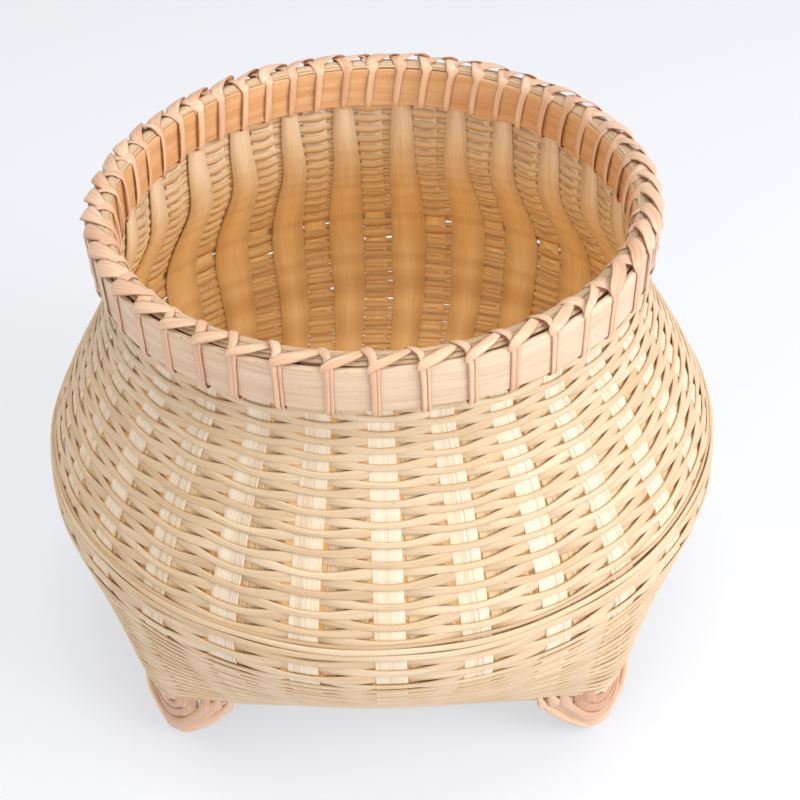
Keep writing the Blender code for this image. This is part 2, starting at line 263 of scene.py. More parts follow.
# Noise scales along and across the fibres, to the millimetre.
FIBRES_ALONG = 0.045
SLOW_ALONG, SLOW_ACROSS = 0.016, 0.30
SPOTS_ALONG, SPOTS_ACROSS = 0.30, 1.9
BUMP_STRENGTH, BUMP_DEPTH = 0.5, 0.12


def fibre_material(name, pale, warm, brown, inner, fine=3.2, streaks=0.22, specks=0.5, gloss=(0.36, 0.58)):
    """Split bamboo or cane: long fibres, slow changes of tone, brown specks, a darker inner face."""
    material = bpy.data.materials.new(name)
    material.use_nodes = True
    tree = material.node_tree
    shader = tree.nodes["Principled BSDF"]
    fibres = grain_noise(tree, FIBRES_ALONG, fine, detail=4.0, shift=3.1)
    slow = grain_noise(tree, SLOW_ALONG, SLOW_ACROSS, detail=2.0, shift=11.7)
    spots = grain_noise(tree, SPOTS_ALONG, SPOTS_ACROSS, detail=1.5, shift=29.3)
    colour = mixed(tree, ranged(tree, slow, 0.35, 0.68, 0.0, 1.0), pale, warm)
    lines = ranged(tree, fibres, 0.46, 0.70, 0.0, streaks)
    colour = mixed(tree, lines, colour, brown)
    marks = ranged(tree, spots, 0.69, 0.76, 0.0, specks)
    colour = mixed(tree, marks, colour, brown)
    # Tone mixes towards brown: the pieces' own tones, and painted shade along edges, in grooves and between
    # rows. Inside multiplies by the inner colour: the inner face's own colour, with painted warm shade
    # lower down and on the stakes behind the weave.
    colour = mixed(tree, attribute(tree, "tone"), colour, brown)
    colour = mixed(tree, attribute(tree, "inside"), colour, inner, "MULTIPLY")
    tree.links.new(colour, shader.inputs["Base Color"])
    tree.links.new(ranged(tree, fibres, 0.3, 0.7, *gloss), shader.inputs["Roughness"])
    bump = tree.nodes.new("ShaderNodeBump")
    bump.inputs["Strength"].default_value = BUMP_STRENGTH
    bump.inputs["Distance"].default_value = BUMP_DEPTH * MM
    tree.links.new(fibres, bump.inputs["Height"])
    tree.links.new(bump.outputs["Normal"], shader.inputs["Normal"])
    return material


CREAM = paint(247, 235, 215)
STRAW = paint(239, 221, 191)
BROWN = paint(176, 128, 86)
INNER_SIDE = paint(255, 236, 190)
# The inner faces are painted a deeper orange below these heights: painted shade deeper in the basket.
WARM_BELOW, PALE_ABOVE = 118.0, 184.0
PALEST_INSIDE = 0.08
splint_bamboo = fibre_material("ribbed splint bamboo", CREAM, STRAW, BROWN, INNER_SIDE, fine=2.6)

# The weave's rows, from under the hoop down. Patches of stake show at these heights.
ROWS_ABOVE_BAND = 27
FIRST_ROW = -3
TOP_PATCH_HEIGHT = 178.3
TOP_ROW_PITCH = 2.84
ROW_PITCH_GROWTH = 0.0046
ROWS_BELOW_BAND = 4
UNDER_BAND_HEIGHT = 102.6
UNDER_BAND_PITCH = 3.45
PACKED_TOP = 89.6
PACKED_PITCH = 1.95
PACKED_BOTTOM = 27.4


def row_heights():
    above = [TOP_PATCH_HEIGHT - TOP_ROW_PITCH * k - ROW_PITCH_GROWTH * k * k
             for k in range(FIRST_ROW, FIRST_ROW + ROWS_ABOVE_BAND)]
    below = [UNDER_BAND_HEIGHT - UNDER_BAND_PITCH * k for k in range(ROWS_BELOW_BAND)]
    packed = np.arange(PACKED_TOP, PACKED_BOTTOM, -PACKED_PITCH)
    return np.array([*above, *below, *packed])


ROW_HEIGHTS = row_heights()
ROW_NUMBERS = np.arange(len(ROW_HEIGHTS)) + FIRST_ROW


def stake_proud(index, height):
    """How far a stake stands out: the shown ones swell over each row behind them."""
    settled = ease((height - BASE_HEIGHT - SETTLED_FROM) / SETTLED_OVER)
    if index % 2 != SHOWN_STAKE:
        return -BACK_STAKE_DEPTH * settled
    row = np.interp(-height, -ROW_HEIGHTS, ROW_NUMBERS)
    turn = 0.0 if (index // 2) % 2 == 1 else 1.0
    slack = ease((STAKE_TOP - HELD_BELOW_TOP - height) / HELD_OVER)
    return STAKE_SWELL * np.cos(np.pi * (row - turn)) * settled * slack


def stake_width(index, height):
    """Stakes are a little narrower at the neck; the ones behind are wider, and stay close at the base."""
    share = np.clip((height - BELLY_HEIGHT) / (NECK_HEIGHT - BELLY_HEIGHT), 0.0, 1.0)
    if index % 2 == SHOWN_STAKE:
        return STAKE_WIDTH + (STAKE_TOP_WIDTH - STAKE_WIDTH) * share
    spread = ease((height - BASE_HEIGHT) / (BELLY_HEIGHT - BASE_HEIGHT))
    wider = (BACK_STAKE_WIDTH - STAKE_WIDTH) * spread
    narrower = (BACK_STAKE_WIDTH - BACK_STAKE_TOP_WIDTH) * share ** BACK_STAKE_TAPER
    return STAKE_WIDTH + wider - narrower


def stake_edges(index, heights):
    """Left and right edges of one upright stake."""
    shown = index % 2 == SHOWN_STAKE
    spread = ease((heights - BASE_HEIGHT) / UNEVEN_OVER)
    dice = np.random.default_rng(7000 + index)
    wider, aside = dice.normal(0, STAKE_UNEVENNESS, 2) * (SHOWN_UNEVENNESS if shown else 1.0)
    half = (stake_width(index, heights) + wider * spread) / (2 * stake_pitch(heights))
    proud = stake_proud(index, heights)
    shift = (aside if shown else BACK_STAKE_SHIFT + aside) * spread
    middle = index + 0.5 + shift / stake_pitch(heights)
    return wall_point(middle - half, heights, proud), wall_point(middle + half, heights, proud)


def inner_painted_shade(height):
    """The inner face is pale just under the hoop and painted a deeper orange further down: painted shade
    deeper in the basket.
    """
    return 1.0 - (1.0 - PALEST_INSIDE) * ease((height - WARM_BELOW) / (PALE_ABOVE - WARM_BELOW))


# Painted shade: faint level streaks on the inner faces.
STREAKS_FROM, STREAKS_TO, STREAK_SPACING = 20.0, 211.0, 3.6
STREAK_RARITY = 1.5
STREAK_HEIGHTS = np.arange(STREAKS_FROM, STREAKS_TO, STREAK_SPACING)
STREAKS = np.random.default_rng(77).uniform(0, 1, len(STREAK_HEIGHTS)) ** STREAK_RARITY


def inner_painted_streaks(height):
    """Faint level streaks of painted shade on the inner face, for the rows behind that show through the
    thin splints.
    """
    return INNER_PAINTED_STREAKS * inner_painted_shade(height) * np.interp(height, STREAK_HEIGHTS, STREAKS)


def bent(start, start_way, end, end_way):
    """A short bend between two points, leaving and arriving in given directions."""
    reach = np.linalg.norm(end - start) * BEND_REACH
    first, second = start + start_way * reach, end - end_way * reach
    t = np.linspace(0, 1, BEND_STEPS + 2)[1:-1, None]
    return (1 - t) ** 3 * start + 3 * t * (1 - t) ** 2 * first + 3 * t * t * (1 - t) * second + t ** 3 * end


def splint_edges(near, far, letter, number):
    """Both edges of a splint, from the top of one stake, across the base and up to the other top."""
    heights = np.arange(BEND_HEIGHT, STAKE_TOP + 0.1, LEVEL_STEP)[::-1]
    near_left, near_right = stake_edges(near, heights)
    far_right, far_left = stake_edges(far, heights[::-1])
    curves = []
    for down, up in ((near_left, far_left), (near_right, far_right)):
        axis = 1 if letter == "y" else 0
        reach = BASE_HALF_WIDTH - MAT_MARGIN
        cross = (down[-1] + up[0]) / 2
        runs = np.linspace(-reach, reach, int(2 * reach / MAT_STEP))
        if letter == "x":
            runs = -runs
        mat = np.repeat(cross[None], len(runs), axis=0)
        mat[:, axis] = runs
        wave = np.cos(np.pi * (runs / MAT_PITCH + number + 0.5))
        lift = MAT_RELIEF if letter == "y" else -MAT_RELIEF
        mat[:, 2] = MAT_HEIGHT + lift * wave
        down_way, up_way = unit(down[-1] - down[-2]), unit(up[1] - up[0])
        in_way, out_way = unit(mat[1] - mat[0]), unit(mat[-1] - mat[-2])
        near_bend = bent(down[-1], down_way, mat[0], in_way)
        far_bend = bent(mat[-1], out_way, up[0], up_way)
        curves.append(np.concatenate((down, near_bend, mat, far_bend, up)))
    return curves


def ribbed_front(dice):
    """Heights and tones of the ribs and of the valleys between them, from edge to edge."""
    on_rib = np.arange(RIB_LINES) % 2 == 1
    crests = np.where(on_rib, RIB_RELIEF, RIB_VALLEY)
    crests = crests + dice.uniform(-RIB_UNEVENNESS, RIB_UNEVENNESS, RIB_LINES)
    crests[[0, -1]] = EDGE_VALLEY
    darker = dice.uniform(0.0, DARK_RIB_TONE, RIB_LINES) * (dice.uniform(0, 1, RIB_LINES) > PLAIN_RIBS)
    # Valleys get painted shade; the darker ribs are the splint's own tone.
    return crests, np.where(on_rib, 0.0, VALLEY_PAINTED_SHADE) + darker


def add_splint(name, near, far, letter, number, dice):
    left, right = splint_edges(near, far, letter, number)
    path = (left + right) / 2
    outward = unit(np.cross(unit(np.gradient(path, axis=0)), right - left))
    crests, ridges = ribbed_front(dice)
    shares, back_shares = np.linspace(0, 1, RIB_LINES), np.array([1.0, 0.5, 0.0])
    front = left[:, None] + (right - left)[:, None] * shares[None, :, None]
    front = front + outward[:, None] * (STAKE_HALF_THICKNESS + crests)[None, :, None]
    back = left[:, None] + (right - left)[:, None] * back_shares[None, :, None]
    back = back - outward[:, None] * STAKE_HALF_THICKNESS
    sections = np.concatenate((front, back), axis=1)
    across = STAKE_WIDTH * np.concatenate((shares, 2.0 - back_shares, [2.2]))
    behind = (np.arange(len(path)) < len(path) / 2) == (near % 2 != SHOWN_STAKE)
    # Stakes behind the weave get painted shade, and their front faces painted warm shade.
    tones = np.concatenate((ridges, [BACK_FACE_TONE] * 3))[None] + BACK_STAKE_PAINTED_SHADE * behind[:, None]
    tones[:, -3:] += (INNER_STAKE_TONE * behind + inner_painted_streaks(path[:, 2]))[:, None]
    insides = np.concatenate((np.zeros(RIB_LINES), np.ones(3)))[None] * inner_painted_shade(path[:, 2])[:, None]
    insides[:, :-3] += BACK_STAKE_PAINTED_WARM_SHADE * behind[:, None]
    grain_start = SPLINT_GRAIN_STEP * number + (0 if letter == "y" else CROSSWISE_GRAIN)
    return add_strand(name, sections, across, tones, insides, False, grain_start)


def dress(piece, material, slot, *nodes):
    piece.data.materials.append(material)
    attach(piece, "root")
    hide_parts(*nodes)


for side, letter in ((0, "y"), (1, "x")):
    for number in range(STAKES_PER_SIDE):
        dice = np.random.default_rng(100 * side + number)
        near = side * STAKES_PER_SIDE + number
        far = (side + 2) * STAKES_PER_SIDE + STAKES_PER_SIDE - 1 - number
        splint = add_splint(f"stake_splint_{letter}_{number + 1:02d}", near, far, letter, number, dice)
        dress(splint, splint_bamboo, "split_bamboo", f"splint_{letter}_{number + 1:02d}")

# Weavers: thin rounded bamboo splints, one round of the wall each, over three stakes and under one.
# Each comes out low beside the stake that it went behind, and dives behind the next with a square end.
# Near the base they are beaten tight, edge to edge.
ROUND_STEPS_PER_STAKE = 8
WEAVER_THICKNESS = 1.0
WEAVER_OUT, WEAVER_IN = 0.75, -0.9
PACKED_OUT = 0.6
DIVE_SPAN, RISE_SPAN = 0.70, 0.95
ROW_DIP = 0.26
ROW_SLANT = 0.08
# How wide a weaver is, as a share of its row's pitch: under a stake, at that stake's edge, midway,
# and over a stake.
WIDTH_PLACES = (0.0, 0.07, 0.5, 1.0)
WIDTH_SHARES = (1.75, 1.5, 1.16, 0.75)
PACKED_WIDTH_SHARES = (1.7, 1.5, 1.35, 1.25)
WIDEST_WEAVER = 5.8
# The half-round section, in shares of half the width and of the thickness, and where its points lie
# across the grain. Then how dark each point is, with painted shade along the edges that is deepest
# under the lower edge, and how far it belongs to the inside.
HALF_ROUND = np.array([
    (-1, -0.2), (-0.92, 0.25), (-0.55, 0.45), (0, 0.5), (0.55, 0.45), (0.92, 0.25), (1, -0.2), (0, -0.5)])
HALF_ROUND_GRAIN = np.array([0.0, 0.5, 1.2, 1.8, 2.4, 3.1, 3.6, 5.4, 7.2])
ROUND_EDGE_PAINTED_SHADE = np.array([0.34, 0.04, 0.0, 0.0, 0.0, 0.02, 0.14, 0.04])
ROUND_INSIDES = np.array([0.5, 0, 0, 0, 0, 0, 0.5, 0.9])
PACKED_EDGE_SHARE = 0.35
ROUND_WAVES, ROUND_WAVER = (2, 3, 5, 9, 14), 0.12
ROUND_TONES, ROUND_STREAKS = 0.16, 0.7
GRAIN_STEP = 977.0
CAD_ROWS = [f"weaver_row_{number:02d}" for number in range(1, 14)] + ["base_border_1", "base_border_2"]

weaver_bamboo = fibre_material(
    "rounded weaver bamboo", paint(231, 211, 180), paint(217, 189, 151), paint(158, 108, 66),
    INNER_SIDE, fine=2.8, streaks=0.26)


def node_middle(node):
    low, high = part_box(node)
    return (low[2] + high[2]) / 2 / MM


CAD_ROW_MIDDLES = {node: node_middle(node) for node in CAD_ROWS}


def nearest_row(height):
    return min(CAD_ROWS, key=lambda node: abs(CAD_ROW_MIDDLES[node] - height))


def wander(dice, waves, spread, angle):
    """Slow waves round a ring, each with a height and a start of its own."""
    return sum(dice.normal(0, spread) * np.sin(wave * angle + dice.uniform(0, 6)) for wave in waves)


def ring_ways(middle):
    """Which way a closed path runs at each of its points."""
    return unit(np.roll(middle, -1, axis=0) - np.roll(middle, 1, axis=0))


def swept(middle, side, normal, outline, width, thickness):
    """An outline at each point of a path, in shares of half the width and of the thickness."""
    width = np.broadcast_to(width, len(middle))[:, None]
    thickness = np.broadcast_to(thickness, len(middle))[:, None]
    sideways = side[:, None] * (outline[:, 0] * width / 2)[..., None]
    outwards = normal[:, None] * (outline[:, 1] * thickness)[..., None]
    return middle[:, None] + sideways + outwards


def add_round(name, row, height, pitch, dice):
    """One round of weaver."""
    packed = height <= PACKED_TOP
    stakes = np.arange(0, STAKES, 1 / ROUND_STEPS_PER_STAKE)
    under = 2 * ((row + 1) % 2) + SHOWN_STAKE + 0.5
    swing = np.pi * (stakes - under) / 2
    away = (swing + np.pi) % (2 * np.pi) - np.pi
    span = np.where(away < 0, DIVE_SPAN, RISE_SPAN)
    reach_out = PACKED_OUT if packed else WEAVER_OUT
    proud = reach_out - (reach_out - WEAVER_IN) * np.exp(-(away / span) ** 2)
    waver = wander(dice, ROUND_WAVES, ROUND_WAVER, 2 * np.pi * stakes / STAKES)
    slope = ROW_DIP * np.cos(swing) + ROW_SLANT * np.sin(swing)
    heights = height + ROW_DIP * pitch + pitch * slope + waver
    over = 0.5 - 0.5 * np.cos(swing)
    shares = PACKED_WIDTH_SHARES if packed else WIDTH_SHARES
    width = np.minimum(WIDEST_WEAVER, pitch * np.interp(over, WIDTH_PLACES, shares))
    middle = wall_point(stakes, heights, proud)
    normal = wall_normal(stakes, heights)
    rise = unit(np.cross(normal, ring_ways(middle)))
    sections = swept(middle, rise, normal, HALF_ROUND, width, WEAVER_THICKNESS)
    hidden = np.clip(0.5 + 0.5 * np.cos(swing), 0, 1) ** 2
    own_tone = dice.uniform(0.0, ROUND_TONES)
    # Painted shade along the edges, only where the round shows.
    edge_painted_shade = ROUND_EDGE_PAINTED_SHADE * (PACKED_EDGE_SHARE if packed else 1.0)
    # Painted shade streaks on the hidden inner part of the round.
    streak = INNER_PAINTED_STREAKS * inner_painted_shade(height) * dice.uniform(0, ROUND_STREAKS)
    tones = np.clip(own_tone + streak * hidden[:, None] + edge_painted_shade[None] * (1 - hidden[:, None]), 0, 1)
    insides = ROUND_INSIDES * inner_painted_shade(height)
    return add_strand(name, sections, HALF_ROUND_GRAIN, tones, insides, True, GRAIN_STEP * row)


for number, (row, height) in enumerate(zip(ROW_NUMBERS, ROW_HEIGHTS), 1):
    dice = np.random.default_rng(500 + number)
    following = ROW_HEIGHTS[number] if number < len(ROW_HEIGHTS) else height - PACKED_PITCH
    pitch = min(height - following, UNDER_BAND_PITCH)
    weaver = add_round(f"weaver_round_{number:02d}", int(row), height, pitch, dice)
    dress(weaver, weaver_bamboo, "weaver_bamboo", nearest_row(height))

# Belly band: three splints laid side by side all round the belly, outside every stake.
# The upper one is thin and redder, and the two below are pale and wide.
# Each splint: height, width, stand-off and tone.
BAND = ((110.3, 1.4, 1.25, 0.34), (108.3, 2.3, 1.55, 0.0), (105.9, 2.4, 1.5, 0.05))
BAND_STEPS = 6
BAND_WAVE, BAND_SWAY, BAND_SWELL = 0.18, 0.3, 0.15
# The band splints' edges and back are painted darker: painted shade where they meet.
BAND_EDGE_PAINTED_SHADE = np.array([0.22, 0.05, 0.0, 0.0, 0.0, 0.05, 0.22, 0.1])
BAND_INSIDES = np.array([0.5, 0, 0, 0, 0, 0, 0.5, 1.0])
BAND_GRAIN = 60000.0

for number, (height, width, proud, tone) in enumerate(BAND, 1):
    dice = np.random.default_rng(900 + number)
    stakes = np.arange(0, STAKES, 1 / BAND_STEPS)
    weave = 2 * np.pi * stakes / 4
    sway = np.sin(2 * np.pi * stakes / (STAKES / 2) + dice.uniform(0, 6))
    heights = height + (BAND_WAVE * np.sin(weave + number) + BAND_SWAY * sway)
    middle = wall_point(stakes, heights, proud + BAND_SWELL * np.sin(weave + 2 * number))
    normal = wall_normal(stakes, heights)
    rise = unit(np.cross(normal, ring_ways(middle)))
    sections = swept(middle, rise, normal, HALF_ROUND, width, WEAVER_THICKNESS)
    tones = tone + BAND_EDGE_PAINTED_SHADE
    grain_start = BAND_GRAIN + GRAIN_STEP * number
    band = add_strand(
        f"band_splint_{number}", sections, HALF_ROUND_GRAIN, tones, BAND_INSIDES, True, grain_start)
    dress(band, weaver_bamboo, "weaver_bamboo", "belly_band")

# Hoops: two flat bamboo laths bent round the neck, the outer one outside the stakes and the inner
# one inside. Their edges are rounded by the knife, and the grain runs along them.
# Each hoop: outer radius, thickness, lower edge and upper edge.
OUTER_HOOP = (101.0, 2.1, 187.5, 204.0)
INNER_HOOP = (95.1, 3.0, 187.5, 204.0)
HOOP_SIDES = 192
HOOP_ROUNDING = 0.75
OUT_WAVES, OUT_WAVER = (2, 3, 5, 7, 11), 0.16
UP_WAVES, UP_WAVER = (3, 4, 8), 0.10
GRAIN_THROUGH_WALL = 1.7
# The hoops are a little darker below and paler along the top edge: a painted highlight where the light
# falls on it.
HOOP_TONE, TOP_HIGHLIGHT_DEPTH = 0.06, 2.4

outer_hoop_bamboo = fibre_material(
    "outer hoop bamboo", paint(232, 209, 182), paint(222, 192, 161), paint(170, 116, 76),
    paint(226, 178, 118), fine=1.3, streaks=0.24, specks=0.6, gloss=(0.3, 0.5))
inner_hoop_bamboo = fibre_material(
    "inner hoop bamboo", paint(232, 188, 142), paint(214, 162, 112), paint(150, 96, 58),
    paint(255, 255, 255), fine=1.0, streaks=0.2, specks=0.3, gloss=(0.2, 0.36))


def lath_ring(name, radius, thickness, low, high):
    """A flat ring with rounded edges."""
    bpy.ops.object.select_all(action="DESELECT")
    bpy.ops.mesh.primitive_cylinder_add(
        vertices=HOOP_SIDES, radius=radius * MM, depth=(high - low) * MM, end_fill_type="NOTHING",
        location=(0, 0, (low + high) / 2 * MM))
    hoop = bpy.context.object
    bpy.ops.object.transform_apply(location=True, rotation=True, scale=True)
    wall = hoop.modifiers.new("Thickness", "SOLIDIFY")
    wall.thickness = thickness * MM
    wall.offset = -1.0
    edges = hoop.modifiers.new("Rounded edges", "BEVEL")
    edges.width = HOOP_ROUNDING * MM
    edges.segments = 3
    edges.limit_method = "ANGLE"
    edges.angle_limit = math.radians(60)
    for modifier in ("Thickness", "Rounded edges"):
        bpy.ops.object.modifier_apply(modifier=modifier)
    hoop.name = hoop.data.name = name
    return hoop


def add_hoop_grain(mesh, points, angle, radius):
    """The grain's UV in millimetres, along the lath and across it."""
    while mesh.uv_layers:
        mesh.uv_layers.remove(mesh.uv_layers[0])
    corners = np.empty(len(mesh.loops), dtype=np.int32)
    mesh.loops.foreach_get("vertex_index", corners)
    spun = angle[corners] / (2 * math.pi)
    starts = np.repeat(spun[[p.loop_start for p in mesh.polygons]], [p.loop_total for p in mesh.polygons])
    spun = spun + np.round(starts - spun)
    radial = np.linalg.norm(points[:, :2], axis=1)[corners] / MM
    along = spun * 2 * math.pi * radius
    across = points[:, 2][corners] / MM + radial * GRAIN_THROUGH_WALL
    grain = np.stack((along, across), axis=-1).astype(np.float32)
    mesh.uv_layers.new(name="grain").data.foreach_set("uv", grain.ravel())


def add_hoop(name, radius, thickness, low, high, dice):
    hoop = lath_ring(name, radius, thickness, low, high)
    mesh = hoop.data
    points = np.empty(len(mesh.vertices) * 3)
    mesh.vertices.foreach_get("co", points)
    points = points.reshape(-1, 3)
    angle = np.arctan2(points[:, 1], points[:, 0])
    points[:, :2] *= (1 + wander(dice, OUT_WAVES, OUT_WAVER, angle) / radius)[:, None]
    points[:, 2] += wander(dice, UP_WAVES, UP_WAVER, angle) * MM
    mesh.vertices.foreach_set("co", points.ravel())
    add_hoop_grain(mesh, points, angle, radius)
    # Painted highlight along the top edge.
    painted_top_highlight = 1.0 - np.clip((high - points[:, 2] / MM) / TOP_HIGHLIGHT_DEPTH, 0, 1)
    tones = (HOOP_TONE - HOOP_TONE * painted_top_highlight).astype(np.float32)
    mesh.attributes.new("tone", "FLOAT", "POINT").data.foreach_set("value", tones)
    insides = np.zeros(len(points), np.float32)
    mesh.attributes.new("inside", "FLOAT", "POINT").data.foreach_set("value", insides)
    bpy.ops.object.shade_smooth_by_angle(angle=math.radians(50))
    return hoop


outer_hoop = add_hoop("outer_lath_hoop", *OUTER_HOOP, np.random.default_rng(31))
dress(outer_hoop, outer_hoop_bamboo, "outer_hoop_bamboo", "outer_hoop")
inner_hoop = add_hoop("inner_lath_hoop", *INNER_HOOP, np.random.default_rng(32))
dress(inner_hoop, inner_hoop_bamboo, "inner_hoop_bamboo", "inner_hoop")

# Filler: a bundle of thin bamboo splints, laid round on top of the stakes, between the hoops.
# The lashing is drawn over it and holds it down.
# Each splint: radius, height, width and tone; the tones are partly the splints' own and partly painted
# shade under the lashing.
FILLERS = (
    (97.7, 204.3, 2.0, 0.34), (96.5, 205.3, 2.1, 0.18), (95.2, 205.7, 2.1, 0.26), (94.2, 205.3, 2.0, 0.14),
    (93.3, 204.6, 1.7, 0.3))
FILLER_THICKNESS = 1.0
FILLER_STEPS = 200
FILLER_SWAY, FILLER_LIFT = 0.2, 0.14
# The filler splints' edges and back are painted darker as shade.
FILLER_EDGE_PAINTED_SHADE = np.array([0.3, 0.1, 0.0, 0.0, 0.0, 0.1, 0.3, 0.3])
FILLER_GRAIN = 70000.0
# Radius and height of the rim's middle, which filler and cane turn their backs to.
RIM_CORE = (95.8, 198.0)
UPWARD = np.array([0, 0, 1.0])


def rim_points(angle, radius, height):
    """Points round the rim, with the angle counted from the front."""
    return np.stack((radius * np.sin(angle), -radius * np.cos(angle), height + 0 * angle), axis=-1)


for number, (radius, height, width, tone) in enumerate(FILLERS, 1):
    dice = np.random.default_rng(700 + number)
    angle = np.arange(FILLER_STEPS) * 2 * np.pi / FILLER_STEPS
    sway = wander(dice, (5, 9, 17, 31), FILLER_SWAY, angle)
    lift = wander(dice, (7, 12, 23), FILLER_LIFT, angle)
    middle = rim_points(angle, radius + sway, height + lift)
    way_out = np.array([radius - RIM_CORE[0], height - RIM_CORE[1]])
    way_out = way_out / np.linalg.norm(way_out)
    normal = rim_points(angle, 1.0, 0.0) * way_out[0] + UPWARD * way_out[1]
    rise = unit(np.cross(normal, ring_ways(middle)))
    sections = swept(middle, rise, normal, HALF_ROUND, width, FILLER_THICKNESS)
    tones = tone + FILLER_EDGE_PAINTED_SHADE
    grain_start = FILLER_GRAIN + GRAIN_STEP * number
    filler = add_strand(
        f"rim_filler_splint_{number}", sections, HALF_ROUND_GRAIN, tones, np.zeros(8), True, grain_start)
    dress(filler, weaver_bamboo, "split_bamboo", "rim_filler")

# Lashing: cane wound round hoops, stakes and filler, fifty stitches. Two strands lie side by side on
# the outer hoop, and the left one hooks back over the rim and down inside. A third, shaped like a
# leaf, crosses the top to the next stitch on the right.
STITCHES = 50
# The stitches stand further apart in front, and are even over the rest of the rim. In degrees.
FRONT_STITCHES = (
    -54.4, -46.6, -38.7, -31.1, -24.2, -15.9, -6.7, 1.4, 9.8, 17.9, 26.3, 34.6, 43.1, 50.7, 59.6)
CANE_THICKNESS = 0.75
STITCH_STEPS = 44
# Each stop: share of a stitch to the right, radius, height, width.
RIGHT_STRAP = (
    (0.055, 98.4, 186.0, 1.0), (0.055, 100.4, 185.9, 1.1), (0.055, 101.5, 187.8, 1.2),
    (0.055, 101.5, 192.0, 1.3), (0.055, 101.5, 198.0, 1.3), (0.06, 101.5, 202.4, 1.5),
    (0.065, 101.0, 204.6, 1.6), (0.08, 99.4, 205.9, 1.7), (0.09, 98.0, 206.2, 1.5))
LEFT_STRAP_AND_HOOK = (
    (-0.045, 98.4, 186.0, 1.8), (-0.045, 100.4, 185.9, 1.9), (-0.045, 101.5, 187.8, 2.0),
    (-0.045, 101.55, 192.0, 2.1), (-0.045, 101.55, 198.0, 2.2), (-0.05, 101.5, 202.4, 2.4),
    (-0.05, 100.9, 204.7, 2.5), (-0.04, 99.7, 206.3, 2.6), (-0.05, 98.2, 207.0, 2.9),
    (-0.12, 96.4, 207.4, 3.1), (-0.20, 94.7, 207.1, 3.2), (-0.25, 93.1, 206.0, 3.2),
    (-0.26, 91.9, 204.0, 3.1), (-0.21, 91.2, 201.2, 3.1), (-0.12, 90.8, 195.4, 3.1),
    (-0.04, 91.5, 188.6, 2.8), (-0.02, 92.4, 186.6, 2.2), (-0.02, 94.4, 186.2, 1.8))
LEAF_STRAND = (
    (-0.16, 101.4, 203.4, 1.3), (-0.10, 101.3, 204.6, 2.7), (0.02, 100.7, 205.7, 3.4),
    (0.22, 99.6, 206.4, 3.5), (0.42, 98.2, 206.8, 3.4), (0.62, 96.5, 206.8, 3.1),
    (0.76, 94.9, 206.3, 2.9), (0.81, 93.4, 205.2, 2.8), (0.82, 92.6, 204.0, 2.6),
    (0.83, 92.8, 202.0, 2.4))
# In front the cane is turned on edge over the rim, and round the sides and the back it lies flat.
FLAT_CANE = 1.7
EDGED_WITHIN, FLAT_BEYOND = 25.0, 60.0
# The cane's section, in shares of half the width and of the thickness, and where its points lie
# across the grain, and how dark they are: the edges are partly the cane's own red-brown and partly
# painted shade.
CANE_SECTION = np.array([
    (-1, -0.25), (-0.8, 0.2), (-0.35, 0.46), (0.35, 0.46), (0.8, 0.2), (1, -0.25), (0, -0.4)])
CANE_SECTION_GRAIN = np.array([0, 0.5, 1.4, 2.8, 3.7, 4.2, 6.4, 8.4])
CANE_EDGE_COLOUR_AND_SHADE = np.array([1, 0.12, 0, 0, 0.12, 1, 1])
CANE_TONES = 0.14
CANE_GRAIN, CANE_GRAIN_STEP = 80000.0, 97
STITCH_SPACING = 12.7
# Both straps of a stitch shift and lean alike, in shares of a stitch.
STITCH_ASIDE, STITCH_LEAN = 0.02, 0.03
STRAP_TOP, STRAP_LENGTH, STRAP_RADIUS = 203, 16, 98
# Over the rim the strands lie less evenly.
LOOSE_FROM, LOOSE_OVER, LOOSE_LIFT = 204, 3, 0.3
WIDER_FROM, WIDER_OVER = 203, 2
LEAST_WIDTH, MOST_WIDTH = 0.86, 1.16
STRAND_ASIDE, STRAND_ROLL = 0.05, 0.14
CORE_LOW, CORE_HIGH = 189.0, 201.5

lashing_cane = fibre_material(
    "lashing cane", paint(243, 211, 182), paint(230, 187, 152), paint(150, 80, 56), paint(255, 255, 255),
    fine=2.2, streaks=0.34, specks=0.3, gloss=(0.24, 0.42))


def stitch_places():
    """Where each stitch stands on the rim, in degrees from the front, and one more to close the ring."""
    last, first = FRONT_STITCHES[-1], FRONT_STITCHES[0] + 360
    rest = STITCHES - len(FRONT_STITCHES)
    evenly = [last + (first - last) * (number + 1) / (rest + 1) for number in range(rest)]
    return np.array([*FRONT_STITCHES, *evenly, first])


STITCH_PLACES = stitch_places()


def stitch_angle(share):
    """Angle on the rim at a place counted in stitches."""
    turns = np.floor(share / STITCHES)
    place = np.interp(share - turns * STITCHES, np.arange(STITCHES + 1), STITCH_PLACES)
    return np.radians(place + 360 * turns)


def smooth_through(stops, gaps, steps):
    """A rounded curve through the stops, stepped by the gaps between them."""
    places = np.concatenate(([0.0], np.cumsum(gaps)))
    slopes = np.gradient(stops, places, axis=0)
    wanted = np.linspace(0, places[-1], steps)
    i = np.clip(np.searchsorted(places, wanted) - 1, 0, len(stops) - 2)
    gap = (places[i + 1] - places[i])[:, None]
    t = (wanted - places[i])[:, None] / gap
    return ((2 * t ** 3 - 3 * t ** 2 + 1) * stops[i] + (t ** 3 - 2 * t ** 2 + t) * gap * slopes[i]
            + (-2 * t ** 3 + 3 * t ** 2) * stops[i + 1] + (t ** 3 - t ** 2) * gap * slopes[i + 1])


def stitch_path(stops):
    stops = np.array(stops, float)
    along = np.abs(np.diff(stops[:, 0])) * STITCH_SPACING
    gaps = along + np.hypot(np.diff(stops[:, 1]), np.diff(stops[:, 2]))
    return smooth_through(stops, gaps, STITCH_STEPS)


def facing_out(angle, radius, height):
    """Directions away from the rim's middle."""
    way_out, way_up = radius - RIM_CORE[0], height - np.clip(height, CORE_LOW, CORE_HIGH)
    turned = np.hypot(way_out, way_up)
    return rim_points(angle, 1.0, 0.0) * (way_out / turned)[:, None] + UPWARD * (way_up / turned)[:, None]


